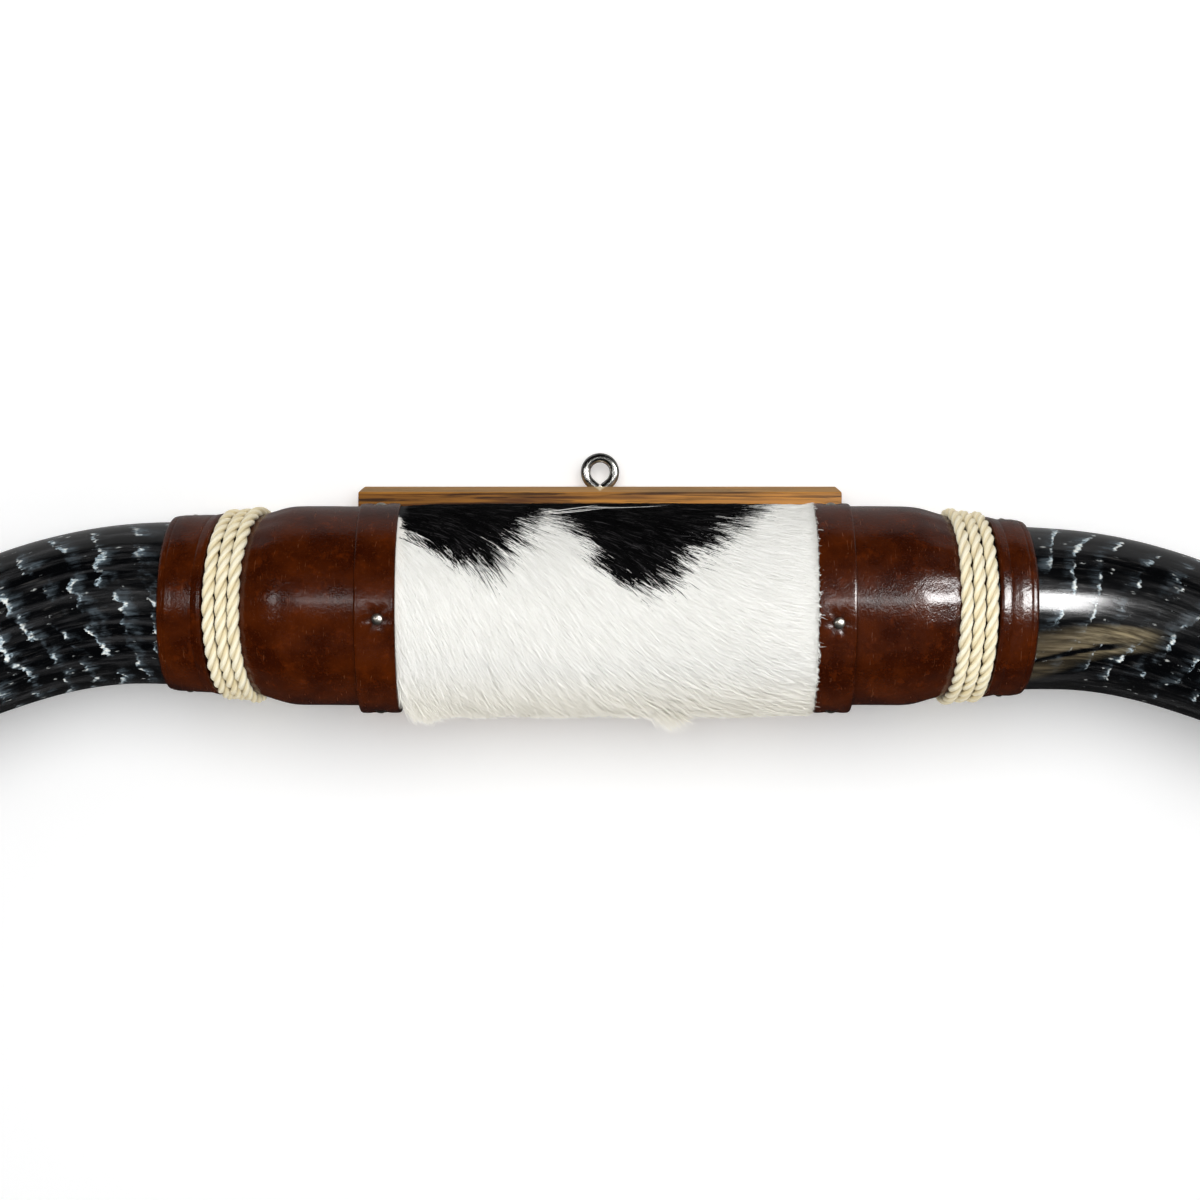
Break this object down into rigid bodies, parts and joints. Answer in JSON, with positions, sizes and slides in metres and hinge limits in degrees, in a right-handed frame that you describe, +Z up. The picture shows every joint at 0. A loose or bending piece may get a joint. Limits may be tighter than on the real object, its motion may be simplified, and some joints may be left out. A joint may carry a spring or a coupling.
{
  "type": "mounted longhorn horns",
  "caption": "Polished longhorn horns mounted on a wooden roll wrapped in hair-on cowhide, leather and rope, with a back board for the wall and a steel hanging eye.",
  "frame": {"origin": "on the back face of the board, at its middle from side to side and at the height of the roll's axis", "axes": "+X to the viewer's right along the roll, +Y backwards into the wall, +Z up"},
  "size_m": [1.64, 0.174, 0.2541],
  "materials": {
    "board_wood": "oiled orange-brown board with darker grain",
    "core_wood": "bare turned wood, hidden",
    "steel": "bright zinc-plated steel",
    "hide": "white hair-on hide with black patches",
    "leather": "glossy dark red-brown leather",
    "rope": "cream three-strand twisted rope",
    "horn": "polished black horn with white flecks"
  },
  "bodies": {
    "root": {"back_board": "board_wood", "screw_eye": "steel", "wood_core": "core_wood", "cowhide": "hide", "left_band": "leather", "right_band": "leather", "left_sleeve": "leather", "right_sleeve": "leather", "left_collar": "leather", "right_collar": "leather", "left_rope": "rope", "right_rope": "rope", "left_horn": "horn", "right_horn": "horn", "left_band_tack_front": "steel", "left_band_tack_top": "steel", "left_band_tack_bottom": "steel", "right_band_tack_front": "steel", "right_band_tack_top": "steel", "right_band_tack_bottom": "steel", "left_collar_nail_top": "steel", "left_collar_nail_bottom": "steel", "right_collar_nail_top": "steel", "right_collar_nail_bottom": "steel"}
  },
  "joints": []
}
